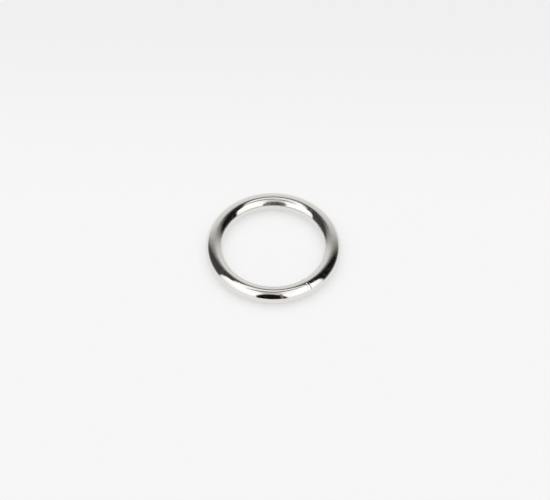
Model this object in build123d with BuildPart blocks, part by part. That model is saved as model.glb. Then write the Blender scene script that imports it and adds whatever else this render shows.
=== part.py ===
"""Welded metal o-ring: one length of round steel wire, bent to a circle and butt-welded.

The ring lies flat on its side, as it comes to rest. +Z is up and along the ring's own axis.
The origin is on the surface that it lies on, under the middle of the eye. Sizes are in millimetres
and angles in degrees.
"""

import os
from math import degrees

from build123d import *

# Driving sizes of the ring
eye_diameter = 20.0  # clear opening through the ring
wire_diameter = 3.5  # round wire that the ring is bent from

# Driving sizes of the butt weld that closes the ring
weld_angle = -55.4  # where the weld is, round the ring from +X
weld_width = 0.6  # length of the weld's swelling, along the wire's middle line
weld_rise = 0.08  # height of the swelling over the wire, on the rim and in the eye

# Sizes that follow
wire_radius = wire_diameter / 2
bend_radius = eye_diameter / 2 + wire_radius  # middle line of the wire
weld_half_angle = degrees(weld_width / 2 / bend_radius)


def section_plane(angle):
    """The plane across the wire at an angle round the ring: X points out of the ring and Y up."""
    outward = Vector(1, 0, 0).rotate(Axis.Z, angle)
    along = Vector(0, 1, 0).rotate(Axis.Z, angle)
    middle = outward * bend_radius + Vector(0, 0, wire_radius)
    return Plane(origin=middle, x_dir=outward, z_dir=-along)


with BuildPart() as o_ring:
    # The weld: where it starts and ends, it is as round as the wire. Its middle swells on the rim
    # and in the eye, and is dressed to the wire's own height above and below
    with BuildSketch(section_plane(weld_angle - weld_half_angle)):
        Circle(wire_radius)
    with BuildSketch(section_plane(weld_angle)):
        Ellipse(wire_radius + weld_rise, wire_radius)
    with BuildSketch(section_plane(weld_angle + weld_half_angle)):
        Circle(wire_radius)
    loft()

    # The wire: its round section, carried round the eye from one side of the weld to the other
    with BuildSketch(section_plane(weld_angle + weld_half_angle)):
        Circle(wire_radius)
    revolve(axis=Axis.Z, revolution_arc=360 - 2 * weld_half_angle)

o_ring.part.label = "o_ring"

os.makedirs("parts", exist_ok=True)
export_step(o_ring.part, "parts/o_ring.step")
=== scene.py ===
"""The looks of a welded metal o-ring: its plated wire with the butt weld, and a small photo studio.

Every length is in metres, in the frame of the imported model: +Z is up, the ring lies on Z = 0, and the
viewpoint of the photo is on the -Y side.
"""

from math import cos, pi, radians, sin

import bpy
import numpy as np
from bpy.props import FloatProperty, FloatVectorProperty, IntProperty, PointerProperty
from mathutils import Matrix, Vector


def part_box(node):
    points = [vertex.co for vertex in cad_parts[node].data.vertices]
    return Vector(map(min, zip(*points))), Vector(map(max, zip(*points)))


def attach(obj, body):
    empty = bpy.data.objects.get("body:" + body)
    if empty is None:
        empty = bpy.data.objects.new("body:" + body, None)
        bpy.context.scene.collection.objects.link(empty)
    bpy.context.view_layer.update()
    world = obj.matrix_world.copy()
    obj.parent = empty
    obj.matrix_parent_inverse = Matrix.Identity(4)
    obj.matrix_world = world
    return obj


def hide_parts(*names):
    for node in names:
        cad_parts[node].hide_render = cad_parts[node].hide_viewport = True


bl_info = {
    "name": "Metal o-ring",
    "version": (1, 0, 0),
    "blender": (4, 5, 0),
    "location": "View3D > Sidebar > O-ring",
    "description": "A welded, nickel plated wire ring and the studio that it is shown in",
    "category": "Add Mesh",
}

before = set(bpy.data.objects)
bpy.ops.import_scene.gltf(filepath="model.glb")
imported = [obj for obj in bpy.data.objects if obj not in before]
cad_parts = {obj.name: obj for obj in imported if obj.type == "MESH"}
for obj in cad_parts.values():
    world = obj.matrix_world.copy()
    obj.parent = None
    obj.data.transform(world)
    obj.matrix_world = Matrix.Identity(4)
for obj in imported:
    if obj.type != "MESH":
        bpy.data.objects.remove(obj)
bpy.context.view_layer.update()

RING_NODE = "o_ring"
ring_low, ring_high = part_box(RING_NODE)
RING_ACROSS = round(ring_high.x - ring_low.x, 4)
WIRE_THICKNESS = round(ring_high.z - ring_low.z, 4)

# The photograph's frame, in pixels, and the width of the camera's sensor
PICTURE_WIDTH = 550
SENSOR_WIDTH = 0.036

BLACK = (0.0, 0.0, 0.0, 1.0)
WHITE = (1.0, 1.0, 1.0, 1.0)


class RingSettings(bpy.types.PropertyGroup):
    """The sizes of the ring's wire and of its weld."""

    ring_across: FloatProperty(
        name="Ring across",
        description="Outer diameter of the ring",
        default=RING_ACROSS,
        unit="LENGTH",
        precision=5,
    )
    wire_thickness: FloatProperty(
        name="Wire",
        description="Diameter of the round wire",
        default=WIRE_THICKNESS,
        unit="LENGTH",
        precision=5,
    )
    weld_angle: FloatProperty(
        name="Weld angle",
        description="Where the weld is, round the ring from +X",
        default=radians(-55.4),
        unit="ROTATION",
    )
    weld_width: FloatProperty(
        name="Weld width",
        description="Length of the weld's swelling along the wire",
        default=0.0006,
        unit="LENGTH",
        precision=5,
    )
    weld_rise: FloatProperty(
        name="Weld rise",
        description="Height of the swelling over the wire, on the rim and in the eye",
        default=0.00008,
        unit="LENGTH",
        precision=6,
    )
    dressed_rise: FloatProperty(
        name="Dressed rise",
        description="What dressing has left of the swelling on the wire's top and underside",
        default=0.000014,
        unit="LENGTH",
        precision=6,
    )
    toe_depth: FloatProperty(
        name="Toe depth",
        description="Depth of the fine groove along each edge of the weld",
        default=0.000022,
        unit="LENGTH",
        precision=6,
    )
    toe_width: FloatProperty(
        name="Toe width",
        description="Width of the fine groove along each edge of the weld",
        default=0.0001,
        unit="LENGTH",
        precision=6,
    )
    toe_spacing: FloatProperty(
        name="Toe spacing",
        description="From one groove to the other, along the wire",
        default=0.00049,
        unit="LENGTH",
        precision=5,
    )
    open_toe: FloatProperty(
        name="Open toe",
        description="Angle over the rim at which the grooves are deepest",
        default=radians(61),
        unit="ROTATION",
    )
    toe_reach: FloatProperty(
        name="Toe reach",
        description="Angle round the wire in which the grooves fade out",
        default=radians(13),
        unit="ROTATION",
    )
    columns: IntProperty(
        name="Columns",
        description="Faces round the ring",
        default=1000,
        min=64,
    )
    rows: IntProperty(
        name="Rows",
        description="Faces round the wire's section",
        default=96,
        min=16,
    )


class NickelSettings(bpy.types.PropertyGroup):
    """The bright nickel plating on the wire."""

    colour: FloatVectorProperty(
        name="Nickel",
        description="Colour of the plating",
        subtype="COLOR",
        size=3,
        min=0,
        max=1,
        default=(0.80, 0.79, 0.77),
    )
    weld_colour: FloatVectorProperty(
        name="Nickel at the weld",
        description="Colour of the plating in the weld's grooves, where it is thinner",
        subtype="COLOR",
        size=3,
        min=0,
        max=1,
        default=(0.38, 0.34, 0.31),
    )
    roughness: FloatProperty(
        name="Roughness",
        description="Roughness of the plating where nothing has rubbed it",
        default=0.07,
        min=0,
        max=1,
        subtype="FACTOR",
    )
    worn_roughness: FloatProperty(
        name="Worn roughness",
        description="Roughness where the plating has been rubbed",
        default=0.17,
        min=0,
        max=1,
        subtype="FACTOR",
    )
    dull_roughness: FloatProperty(
        name="Dull roughness",
        description="Roughness in the middle of the dull patch inside the eye",
        default=0.24,
        min=0,
        max=1,
        subtype="FACTOR",
    )
    dull_place: FloatVectorProperty(
        name="Dull patch",
        description="Where the dull patch inside the eye is",
        subtype="TRANSLATION",
        size=3,
        default=(0.0001, 0.0101, 0.0020),
    )
    dull_core: FloatProperty(
        name="Dull core",
        description="How far from its middle the dull patch is fully dull",
        default=0.0012,
        unit="LENGTH",
        precision=5,
    )
    dull_reach: FloatProperty(
        name="Dull reach",
        description="How far from its middle the dull patch ends",
        default=0.0030,
        unit="LENGTH",
        precision=5,
    )
    drawing_marks: FloatProperty(
        name="Drawing marks",
        description="Depth of the marks that the drawing die left along the wire",
        default=0.000002,
        unit="LENGTH",
        precision=8,
    )
    ripple: FloatProperty(
        name="Ripple",
        description="Depth of the plating's soft, wide ripple",
        default=0.000018,
        unit="LENGTH",
        precision=8,
    )


class StudioSettings(bpy.types.PropertyGroup):
    """The floor, the lights and the camera."""

    floor_colour: FloatVectorProperty(
        name="Floor",
        description="Colour of the floor on the camera's side",
        subtype="COLOR",
        size=3,
        min=0,
        max=1,
        default=(0.944, 0.944, 0.944),
    )
    # Painted shade: the floor beyond the ring is given a darker colour, where the light falls off
    far_floor_shade_colour: FloatVectorProperty(
        name="Far floor",
        description="Colour of the floor beyond the ring",
        subtype="COLOR",
        size=3,
        min=0,
        max=1,
        default=(0.885, 0.885, 0.885),
    )
    floor_glow: FloatProperty(
        name="Floor glow",
        description="Share of the floor's brightness that is its own glow",
        default=0.53,
        min=0,
        max=1,
        subtype="FACTOR",
    )
    floor_size: FloatProperty(
        name="Floor size",
        description="Side of the square floor",
        default=6.0,
        unit="LENGTH",
    )
    overhead_light: FloatProperty(
        name="Overhead light",
        description="Brightness overhead of the light on all that isn't mirror-like",
        default=1.45,
        min=0,
    )
    side_light: FloatProperty(
        name="Side light",
        description="Brightness from the sides of the light on all that isn't mirror-like",
        default=0.42,
        min=0,
    )
    background_level: FloatProperty(
        name="Background",
        description="Brightness of the background, where the camera sees past the floor",
        default=0.92,
        min=0,
    )
    cards_distance: FloatProperty(
        name="Cards' distance",
        description="How far from the ring the softboxes and the backdrop are mirrored",
        default=0.106,
        unit="LENGTH",
    )
    room_distance: FloatProperty(
        name="Room's distance",
        description="How far from the ring the room behind them is mirrored",
        default=2.5,
        unit="LENGTH",
    )
    softbox_level: FloatProperty(
        name="Softboxes",
        description="Brightness of each softbox in its middle, as mirrored",
        default=1.25,
        min=0,
    )
    backdrop_level: FloatProperty(
        name="Backdrop",
        description="Brightness of the backdrop's foot, as mirrored",
        default=0.86,
        min=0,
    )
    table_level: FloatProperty(
        name="Table edge",
        description="Brightness all round, low over the table, as mirrored",
        default=0.80,
        min=0,
    )
    left_dark_level: FloatProperty(
        name="Left dark",
        description="Brightness of the dark between the backdrop and the left softbox",
        default=0.05,
        min=0,
    )
    right_dark_level: FloatProperty(
        name="Right dark",
        description="Brightness of the dark between the backdrop and the right softbox",
        default=0.006,
        min=0,
    )
    ceiling_level: FloatProperty(
        name="Ceiling",
        description="Brightness of the ceiling between the softboxes, where it is brightest",
        default=0.95,
        min=0,
    )
    warm_tint: FloatVectorProperty(
        name="Warm tint",
        description="Tint of what stands close to the ring and isn't a softbox, as mirrored",
        subtype="COLOR",
        size=3,
        min=0,
        max=1,
        default=(1.0, 0.97, 0.945),
    )
    arm_colour: FloatVectorProperty(
        name="Camera arm",
        description="Colour of the dim patch overhead, where the camera's arm is mirrored",
        subtype="COLOR",
        size=3,
        min=0,
        max=1,
        default=(0.17, 0.135, 0.12),
    )
    room_colour: FloatVectorProperty(
        name="Room",
        description="Colour of the dark room low behind the camera",
        subtype="COLOR",
        size=3,
        min=0,
        max=1,
        default=(0.008, 0.007, 0.006),
    )
    glint_colour: FloatVectorProperty(
        name="Warm glint",
        description="Colour of the warm glint on the right of the dark room",
        subtype="COLOR",
        size=3,
        min=0,
        max=1,
        default=(0.31, 0.20, 0.125),
    )
    camera_elevation: FloatProperty(
        name="Camera elevation",
        description="Angle of the camera's line of sight over the floor",
        default=radians(52.6),
        unit="ROTATION",
    )
    camera_distance: FloatProperty(
        name="Camera distance",
        description="From the camera to the ring's middle",
        default=0.55,
        unit="LENGTH",
    )
    camera_roll: FloatProperty(
        name="Camera roll",
        description="Turn of the picture, clockwise",
        default=radians(1.15),
        unit="ROTATION",
    )
    picture_scale: FloatProperty(
        name="Picture scale",
        description="Pixels of the photograph's frame for each metre at the ring's middle",
        default=5020.0,
    )
    aim_right: FloatProperty(
        name="Aim right",
        description="How far the picture's middle lies to the right of the ring's middle",
        default=0.00034,
        unit="LENGTH",
        precision=5,
    )
    aim_down: FloatProperty(
        name="Aim down",
        description="How far the picture's middle lies below the ring's middle",
        default=0.00043,
        unit="LENGTH",
        precision=5,
    )


class Signal:
    """A socket of a node tree. A sum written on it adds the Math nodes that work it out."""

    def __init__(self, nodes, socket):
        self.nodes = nodes
        self.socket = socket

    def __add__(self, other):
        return self.nodes.math("ADD", self, other)

    def __radd__(self, other):
        return self.nodes.math("ADD", other, self)

    def __sub__(self, other):
        return self.nodes.math("SUBTRACT", self, other)

    def __rsub__(self, other):
        return self.nodes.math("SUBTRACT", other, self)

    def __mul__(self, other):
        return self.nodes.math("MULTIPLY", self, other)

    def __rmul__(self, other):
        return self.nodes.math("MULTIPLY", other, self)

    def __abs__(self):
        return self.nodes.math("ABSOLUTE", self)


class Nodes:
    """A node tree, emptied, to which nodes are added one at a time."""

    def __init__(self, tree):
        self.tree = tree
        tree.nodes.clear()

    def add(self, kind, settings=None, inputs=None, output=0):
        """Adds a node: sets its settings, then gives its sockets their values or links.

        It gives back one of the node's outputs, which is named or numbered by output.
        """
        node = self.tree.nodes.new(kind)
        for name, value in (settings or {}).items():
            setattr(node, name, value)
        for name, value in (inputs or {}).items():
            if isinstance(value, Signal):
                self.tree.links.new(value.socket, node.inputs[name])
            else:
                node.inputs[name].default_value = value
        return Signal(self, node.outputs[output]) if node.outputs else None

    def math(self, operation, *values):
        """One Math operation on numbers or signals."""
        return self.add("ShaderNodeMath", {"operation": operation}, dict(enumerate(values)))

    def split(self, vector):
        """The X, Y and Z of a vector."""
        first = self.add("ShaderNodeSeparateXYZ", {}, {"Vector": vector})
        return [Signal(self, socket) for socket in first.socket.node.outputs]

    def noise(self, place, scale, detail):
        """Noise from 0 to 1, mostly near 0.5, at a place."""
        inputs = {"Vector": place, "Scale": scale, "Detail": detail}
        return self.add("ShaderNodeTexNoise", {}, inputs, "Fac")

    def step(self, value, low, high):
        """0 where value is below low, 1 where it is over high, and a smooth rise between them."""
        settings = {"interpolation_type": "SMOOTHSTEP"}
        inputs = {"Value": value, "From Min": low, "From Max": high}
        return self.add("ShaderNodeMapRange", settings, inputs, "Result")

    def drop(self, value, low, high):
        """1 where value is below low, 0 where it is over high, and a smooth fall between them."""
        return 1 - self.step(value, low, high)

    def slope(self, value, start, fall, most):
        """A straight slope: start, less fall for each unit of value, and nowhere over most."""
        return self.math("MINIMUM", start - fall * value, most)

    def blend(self, share, start, end):
        """Goes from the number start to the number end as share goes from 0 to 1."""
        return self.add("ShaderNodeMix", {"data_type": "FLOAT"}, {0: share, 2: start, 3: end}, 0)

    def blend_colour(self, share, start, end):
        """Goes from the colour start to the colour end as share goes from 0 to 1."""
        return self.add("ShaderNodeMix", {"data_type": "RGBA"}, {0: share, 6: start, 7: end}, 2)


def opaque(colour):
    """A colour of three numbers as one of four."""
    return (*colour, 1.0)


def make_object(name, vertices, faces, flat=False):
    """A mesh object at the origin, from an array of vertices and a list of faces."""
    mesh = bpy.data.meshes.new(name)
    mesh.from_pydata(vertices, [], faces, shade_flat=flat)
    piece = bpy.data.objects.new(name, mesh)
    bpy.context.scene.collection.objects.link(piece)
    return piece


def bell(distance, half_width):
    """1 at no distance, falling off as e ^ -(distance / half_width)^2."""
    return np.exp(-((distance / half_width) ** 2))


def weld_groove(ring, along, over_rim):
    """How deep the groove along each edge of the weld is, from 0 to 1 where it is deepest.

    along is the distance along the wire from the weld's middle, and over_rim the angle round the
    wire from the rim over the top. Across the groove it is a bell. Round the wire, dressing has left
    it only within a bell round the angle open_toe, above and below, and the left edge's is half as
    deep.
    """
    left_share = 0.5
    from_rim = np.abs(np.mod(over_rim + pi, 2 * pi) - pi)
    undressed = bell(from_rim - ring.open_toe, ring.toe_reach)
    profile = bell(np.abs(along) - ring.toe_spacing / 2, ring.toe_width / 2)
    return undressed * profile * np.where(along > 0, 1.0, left_share)


def weld_swelling(ring, along, over_rim):
    """Height of the weld over the wire, with along and over_rim as for the groove.

    It is a dome, 1 - (along / half the width)^2, as high as weld_rise on the rim and in the eye and
    as dressed_rise on top and underneath, and between them it goes by the cosine squared.
    """
    dome = np.clip(1 - (along / (ring.weld_width / 2)) ** 2, 0, None)
    undressed = (ring.weld_rise - ring.dressed_rise) * np.cos(over_rim) ** 2
    return dome * (ring.dressed_rise + undressed)


def ring_surface(ring):
    """The ring's skin, as a grid of points with one column for each place round the ring.

    u goes once round the ring. The angle round the ring is the weld's angle + u - gather * sin(u),
    so the columns crowd together at the weld. v goes once round the wire's section, from the rim
    over the top. A point is on the wire's middle line, and from there a wire's radius and the weld's
    relief further in the direction of v. It never lies lower than the floor.

    With the points come their places on the wire as if it were straight, with Z along it, and how
    deep the weld's groove is at each.
    """
    gather = 0.75
    wire_radius = ring.wire_thickness / 2
    bend_radius = ring.ring_across / 2 - wire_radius
    u = np.linspace(0, 2 * pi, ring.columns, endpoint=False)[:, None]
    v = np.linspace(0, 2 * pi, ring.rows, endpoint=False)[None, :]
    turn = u - gather * np.sin(u)
    angle = ring.weld_angle + turn
    along = bend_radius * (np.mod(turn + pi, 2 * pi) - pi)
    groove = weld_groove(ring, along, v)
    reach = wire_radius + weld_swelling(ring, along, v) - ring.toe_depth * groove
    out = bend_radius + reach * np.cos(v)
    height = np.maximum(wire_radius + reach * np.sin(v), 0)
    points = np.stack([out * np.cos(angle), out * np.sin(angle), height], axis=-1)
    straight = [wire_radius * np.cos(v), wire_radius * np.sin(v), bend_radius * turn]
    wire_place = np.stack(np.broadcast_arrays(*straight), axis=-1)
    return points, wire_place, groove


def grid_faces(columns, rows, closed_rows):
    """The faces of a grid of points, with their outer sides outwards.

    The last column always joins the first. The last row joins the first if the rows are closed.
    """
    corner = np.arange(columns * rows).reshape(columns, rows)
    across = np.roll(corner, -1, axis=0)
    faces = [corner, across, np.roll(across, -1, axis=1), np.roll(corner, -1, axis=1)]
    faces = np.stack(faces, axis=-1)
    if not closed_rows:
        faces = faces[:, :-1]
    return faces.reshape(-1, 4)


def nickel_material(nickel):
    """Bright nickel: mirror-like, with fine drawing marks along the wire and rubbed patches."""
    material = bpy.data.materials.new("nickel_plate")
    material.use_nodes = True
    nodes = Nodes(material.node_tree)
    place = nodes.add("ShaderNodeTexCoord", {}, {}, "Object")
    wire_place = nodes.add("ShaderNodeAttribute", {"attribute_name": "wire_place"}, {}, "Vector")
    groove = nodes.add("ShaderNodeAttribute", {"attribute_name": "groove"}, {}, "Fac")

    # Marks of the drawing die: noise that is stretched a hundred times along the wire
    drawn = nodes.add(
        "ShaderNodeVectorMath",
        {"operation": "MULTIPLY"},
        {0: wire_place, 1: (1.0, 1.0, 0.01)},
        "Vector",
    )
    marks = nodes.noise(drawn, scale=2500.0, detail=6.0)
    ripple = nodes.noise(place, scale=420.0, detail=2.0)
    height = marks * nickel.drawing_marks + ripple * nickel.ripple
    bump = nodes.add("ShaderNodeBump", {}, {"Strength": 1.0, "Distance": 1.0, "Height": height})

    # Wear: rubbed patches where a fine noise is high, and one dull patch inside the eye
    rubbed = nodes.step(nodes.noise(place, scale=900.0, detail=6.0), 0.52, 0.75)
    rough = nodes.blend(rubbed, nickel.roughness, nickel.worn_roughness)
    from_dull = nodes.add(
        "ShaderNodeVectorMath", {"operation": "DISTANCE"}, {0: place, 1: nickel.dull_place}, "Value"
    )
    dull = nodes.drop(from_dull, nickel.dull_core, nickel.dull_reach)
    rough = nodes.blend(dull, rough, nickel.dull_roughness)
    colour = nodes.blend_colour(groove, opaque(nickel.colour), opaque(nickel.weld_colour))
    shader = nodes.add(
        "ShaderNodeBsdfPrincipled",
        {},
        {"Base Color": colour, "Metallic": 1.0, "Roughness": rough, "Normal": bump},
    )
    nodes.add("ShaderNodeOutputMaterial", {}, {"Surface": shader})
    return material


def glow(nodes, colour, cover=1.0):
    """A shader that shines with a colour of its own, and neither mirrors nor scatters light."""
    inputs = {
        "Base Color": BLACK,
        "Specular IOR Level": 0.0,
        "Emission Color": colour,
        "Emission Strength": 1.0,
        "Alpha": cover,
    }
    return nodes.add("ShaderNodeBsdfPrincipled", {}, inputs)


def floor_material(studio):
    """A plain, matt, pale surface, a little brighter towards the camera by painted shade: its colour
    darkens beyond the ring, where the light falls off.

    Part of its brightness, as the camera and mirrors see it, is its own glow, as of a sheet that is
    lit from below, so that the ring's shadow on it is weak.
    """
    material = bpy.data.materials.new("floor")
    material.use_nodes = True
    nodes = Nodes(material.node_tree)
    _, y, _ = nodes.split(nodes.add("ShaderNodeTexCoord", {}, {}, "Object"))
    # Painted shade: the floor's colour darkens away from the camera, where the light falls off
    far = nodes.step(y, 0.01, 0.07)
    colour = nodes.blend_colour(far, opaque(studio.floor_colour), opaque(studio.far_floor_shade_colour))
    sheet = nodes.add(
        "ShaderNodeBsdfPrincipled",
        {},
        {"Base Color": colour, "Roughness": 0.9, "Specular IOR Level": 0.0},
    )
    seen = nodes.add("ShaderNodeLightPath", {}, {}, "Is Camera Ray")
    mirrored = nodes.add("ShaderNodeLightPath", {}, {}, "Is Glossy Ray")
    share = nodes.math("MAXIMUM", seen, mirrored) * studio.floor_glow
    shader = nodes.add("ShaderNodeMixShader", {}, {0: share, 1: sheet, 2: glow(nodes, colour)})
    nodes.add("ShaderNodeOutputMaterial", {}, {"Surface": shader})
    return material


def light_studio(studio):
    """The world: soft light from overhead for all that isn't mirror-like, and a pale background."""
    world = bpy.data.worlds.new("studio")
    world.use_nodes = True
    world.cycles_visibility.glossy = False
    bpy.context.scene.world = world
    nodes = Nodes(world.node_tree)
    _, _, z = nodes.split(nodes.add("ShaderNodeTexCoord", {}, {}, "Generated"))
    seen = nodes.add("ShaderNodeLightPath", {}, {}, "Is Camera Ray")
    overhead = nodes.step(z, 0.4, 0.95)
    light = nodes.blend(overhead, studio.side_light, studio.overhead_light)
    level = nodes.blend(seen, light, studio.background_level)
    background = nodes.add("ShaderNodeBackground", {}, {"Color": level, "Strength": 1.0})
    nodes.add("ShaderNodeOutputWorld", {}, {"Surface": background})


def direction_in_dome(nodes):
    """The direction from the ring to a place on a dome, one unit long.

    Its x is to the right, its y away from the camera and its z up.
    """
    place = nodes.add("ShaderNodeTexCoord", {}, {}, "Object")
    return nodes.add("ShaderNodeVectorMath", {"operation": "NORMALIZE"}, {0: place}, "Vector")


def shining_material(name, nodes_of):
    """A material that shines with the colour and the cover that nodes_of gives for its nodes."""
    material = bpy.data.materials.new(name)
    material.use_nodes = True
    nodes = Nodes(material.node_tree)
    colour, cover = nodes_of(nodes)
    nodes.add("ShaderNodeOutputMaterial", {}, {"Surface": glow(nodes, colour, cover)})
    return material


def softboxes(nodes, studio, direction, right):
    """Where a direction meets a softbox, from 0 to 1, and how bright the softbox is there.

    Each softbox reaches back, in y, to an edge that slopes towards the camera as it goes aside.
    Near the middle that is its steep inner edge. Further out it is its back edge, which differs
    left and right. Its cloth has faint folds, and darkens away from its middle and towards its foot.
    """
    x, y, z = nodes.split(direction)
    aside = abs(x)
    inner_edge = nodes.slope(aside, start=nodes.blend(right, 0.515, 0.485), fall=1.15, most=0.41)
    left_edge = nodes.slope(aside, start=0.285, fall=0.50, most=-0.015)
    right_edge = nodes.slope(aside, start=0.36, fall=0.66, most=-0.05)
    edge = nodes.math("MAXIMUM", inner_edge, nodes.blend(right, left_edge, right_edge))
    lit = nodes.step(edge - y, -0.04, 0.05)

    from_middle = aside - 0.55
    over_foot = nodes.step(z, 0.05, 0.40)
    folds = nodes.noise(direction, scale=7.0, detail=2.0)
    level = studio.softbox_level * (0.96 + 0.1 * folds - from_middle * from_middle)
    return lit, level * nodes.blend(over_foot, 0.8, 1.0)


def backdrop(nodes, studio, x, y, right):
    """How much of a direction the backdrop fills, from 0 to 1, and how bright it is there.

    It stands opposite the camera and fades out upwards, a little lower down at its left end. It is
    brightest at its foot, and a little darker on the right.
    """
    at_ends = nodes.step(abs(x), 0.62, 0.85)
    lowered = at_ends * nodes.blend(right, 0.06, 0.0)
    fade = nodes.step(y - lowered, 0.35, 0.76)
    at_foot = nodes.step(y, 0.55, 0.95)
    to_right = nodes.step(x, 0.2, 0.6)
    level = studio.backdrop_level * nodes.blend(at_foot, 0.82, 1.0)
    return fade, level * nodes.blend(to_right, 1.0, 0.9)


def camera_arm(nodes, x, y):
    """Where a direction meets the camera's arm, from 0 to 1.

    It is a soft ellipse overhead, whose right end lies further from the camera.
    """
    half_length, half_width = 0.42, 0.12
    along = (x - 0.02) * (1 / half_length)
    across = (y + 0.04 - 0.40 * x) * (1 / half_width)
    return nodes.drop(along * along + across * across, 0.3, 1.1)


def cards_material(studio):
    """What stands close to the ring: the backdrop, the softboxes, and the camera's arm over it.

    The softboxes lean over the ring from the camera's side, left and right, with a strip of ceiling
    between them. The backdrop stands opposite the camera, and the dark shows on each side between it
    and the softboxes. All round, low over the table, it is pale. Low behind the camera is a gap
    between the softboxes, in which the room shows.
    """

    def shades(nodes):
        direction = direction_in_dome(nodes)
        x, y, z = nodes.split(direction)
        right = nodes.step(x, -0.03, 0.03)

        # The dark, a little paler low down, and what stands before it
        high_up = nodes.step(z, 0.08, 0.38)
        dark = nodes.blend(right, studio.left_dark_level, studio.right_dark_level)
        dark = dark + nodes.blend(high_up, 0.16, 0.0)
        lit, softbox_level = softboxes(nodes, studio, direction, right)
        level = nodes.blend(lit, dark, softbox_level)
        fade, backdrop_level = backdrop(nodes, studio, x, y, right)
        level = nodes.blend(fade, level, backdrop_level)

        # A short dark line in the middle, between the backdrop and the strip of ceiling
        line = nodes.drop(abs(x), 0.08, 0.25) * nodes.drop(abs(y - 0.49), 0.04, 0.10)
        level = nodes.blend(line, level, studio.left_dark_level)

        # The pale table's edge
        over_table = nodes.step(z, 0.0, 0.08)
        level = nodes.blend(over_table, studio.table_level, level)

        # Between the softboxes, opening out towards the camera: the strip of ceiling, and the gap
        half_width = nodes.slope(y, start=0.22, fall=0.40, most=0.36)
        between = nodes.drop(abs(x) - half_width, -0.03, 0.03)
        strip = between * nodes.drop(y, 0.40, 0.44) * nodes.drop(abs(x + 0.02), 0.06, 0.22)
        overhead = nodes.step(y, -0.35, 0.0)
        ceiling = studio.ceiling_level * nodes.blend(overhead, 0.6, 1.0)
        level = nodes.blend(strip, level, ceiling)
        gap = between * nodes.drop(y, -0.58, -0.46)

        tint = nodes.blend_colour(lit, opaque(studio.warm_tint), WHITE)
        colour = nodes.add(
            "ShaderNodeVectorMath", {"operation": "SCALE"}, {0: tint, "Scale": level}, "Vector"
        )
        arm = camera_arm(nodes, x, y)
        return nodes.blend_colour(arm, colour, opaque(studio.arm_colour)), 1 - gap

    return shining_material("cards", shades)


def room_material(studio):
    """What is far off, low behind the camera: the dark room, with a warm glint on its right.

    The dark is a wedge that widens downwards. All round the wedge is as bright as the softboxes.
    """

    def shades(nodes):
        x, y, _ = nodes.split(direction_in_dome(nodes))
        half_width = -0.21 - 0.65 * y
        dark = nodes.step(half_width - abs(x + 0.035), -0.04, 0.04)
        pale = opaque([studio.softbox_level] * 3)
        colour = nodes.blend_colour(dark, pale, opaque(studio.room_colour))
        glint = nodes.drop(abs(x - 0.03 + 0.22 * y), 0.015, 0.05)
        return nodes.blend_colour(glint, colour, opaque(studio.glint_colour)), 1.0

    return shining_material("room", shades)


def make_dome(name, distance, material):
    """A dome round the ring that only mirror-like surfaces see.

    A point on its wall is distance * (cos(rise) cos(turn), cos(rise) sin(turn), sin(rise)), and one
    more point closes the top.
    """
    rings, segments = 24, 96
    rise = np.linspace(0, pi / 2, rings, endpoint=False)[None, :]
    turn = np.linspace(0, 2 * pi, segments, endpoint=False)[:, None]
    wall = [np.cos(rise) * np.cos(turn), np.cos(rise) * np.sin(turn), np.sin(rise)]
    wall = np.stack(np.broadcast_arrays(*wall), axis=-1).reshape(-1, 3)
    points = np.vstack([wall, [[0, 0, 1]]]) * distance
    highest = np.arange(segments) * rings + rings - 1
    cap = np.stack([highest, np.roll(highest, -1), np.full(segments, len(wall))], axis=-1)
    faces = grid_faces(segments, rings, closed_rows=False).tolist() + cap.tolist()
    dome = make_object(name, points, faces)
    dome.data.materials.append(material)
    dome.visible_camera = False
    dome.visible_diffuse = False
    dome.visible_transmission = False
    dome.visible_shadow = False


def place_camera(studio, target):
    """A camera on the -Y side, at its elevation and distance from the target.

    It is turned by its roll, and moved a little sideways and down to aim as the photograph does.
    """
    data = bpy.data.cameras.new("camera")
    data.sensor_width = SENSOR_WIDTH * 1000
    data.lens = studio.picture_scale * studio.camera_distance * data.sensor_width / PICTURE_WIDTH
    data.clip_end = 10.0
    camera = bpy.data.objects.new("camera", data)
    bpy.context.scene.collection.objects.link(camera)
    bpy.context.scene.camera = camera

    tilt = studio.camera_elevation
    back = Vector((0, -cos(tilt), sin(tilt)))
    roll = Matrix.Rotation(studio.camera_roll, 4, "Z")
    turn = Matrix.Rotation(pi / 2 - tilt, 4, "X") @ roll
    right = (turn @ Vector((1, 0, 0, 0))).to_3d()
    up = (turn @ Vector((0, 1, 0, 0))).to_3d()
    place = target + studio.camera_distance * back + studio.aim_right * right - studio.aim_down * up
    camera.matrix_world = Matrix.Translation(place) @ turn


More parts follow.
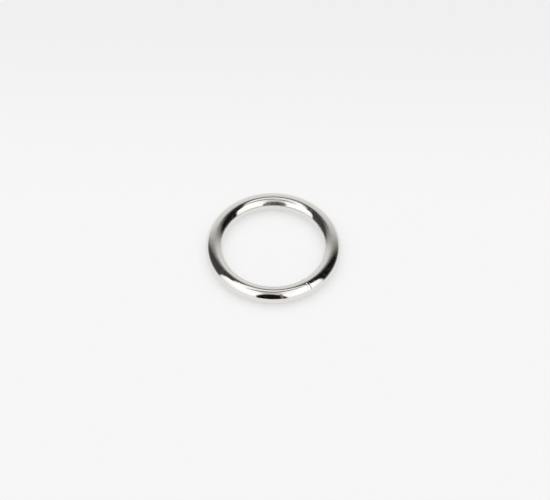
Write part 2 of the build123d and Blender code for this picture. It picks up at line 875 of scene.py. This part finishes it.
class ORING_OT_make_ring(bpy.types.Operator):
    """Make the plated wire ring with its butt weld"""

    bl_idname = "oring.make_ring"
    bl_label = "Make the ring"

    def execute(self, context):
        ring = context.scene.oring_ring
        points, wire_place, groove = ring_surface(ring)
        faces = grid_faces(ring.columns, ring.rows, closed_rows=True).tolist()
        piece = make_object("ring_wire", points.reshape(-1, 3), faces)
        mesh = piece.data
        place = mesh.attributes.new("wire_place", "FLOAT_VECTOR", "POINT")
        place.data.foreach_set("vector", wire_place.astype(np.float32).ravel())
        depth = mesh.attributes.new("groove", "FLOAT", "POINT")
        depth.data.foreach_set("value", groove.astype(np.float32).ravel())
        mesh.materials.append(nickel_material(context.scene.oring_nickel))
        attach(piece, "root")
        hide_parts(RING_NODE)
        return {"FINISHED"}


class ORING_OT_make_studio(bpy.types.Operator):
    """Make the floor, the lights and the camera"""

    bl_idname = "oring.make_studio"
    bl_label = "Make the studio"

    def execute(self, context):
        studio = context.scene.oring_studio
        side = studio.floor_size / 2
        corners = np.array([(-side, -side, 0), (side, -side, 0), (side, side, 0), (-side, side, 0)])
        floor = make_object("floor", corners, [[0, 1, 2, 3]], flat=True)
        floor.data.materials.append(floor_material(studio))
        light_studio(studio)
        make_dome("cards", studio.cards_distance, cards_material(studio))
        make_dome("room", studio.room_distance, room_material(studio))
        middle = context.scene.oring_ring.wire_thickness / 2
        place_camera(studio, Vector((0, 0, middle)))
        context.scene.view_settings.view_transform = "Standard"
        return {"FINISHED"}


class ORING_PT_panel(bpy.types.Panel):
    """The ring's sizes and finish, and the studio"""

    bl_label = "O-ring"
    bl_idname = "ORING_PT_panel"
    bl_space_type = "VIEW_3D"
    bl_region_type = "UI"
    bl_category = "O-ring"

    def draw(self, context):
        groups = (
            (context.scene.oring_ring, ORING_OT_make_ring.bl_idname),
            (context.scene.oring_nickel, None),
            (context.scene.oring_studio, ORING_OT_make_studio.bl_idname),
        )
        for group, operator in groups:
            box = self.layout.box()
            for name in group.__annotations__:
                box.prop(group, name)
            if operator:
                box.operator(operator)


CLASSES = (
    RingSettings,
    NickelSettings,
    StudioSettings,
    ORING_OT_make_ring,
    ORING_OT_make_studio,
    ORING_PT_panel,
)


def register():
    for cls in CLASSES:
        bpy.utils.register_class(cls)
    bpy.types.Scene.oring_ring = PointerProperty(type=RingSettings)
    bpy.types.Scene.oring_nickel = PointerProperty(type=NickelSettings)
    bpy.types.Scene.oring_studio = PointerProperty(type=StudioSettings)


def unregister():
    del bpy.types.Scene.oring_studio
    del bpy.types.Scene.oring_nickel
    del bpy.types.Scene.oring_ring
    for cls in reversed(CLASSES):
        bpy.utils.unregister_class(cls)


def main():
    register()
    bpy.ops.oring.make_ring()
    bpy.ops.oring.make_studio()


if __name__ == "__main__":
    main()
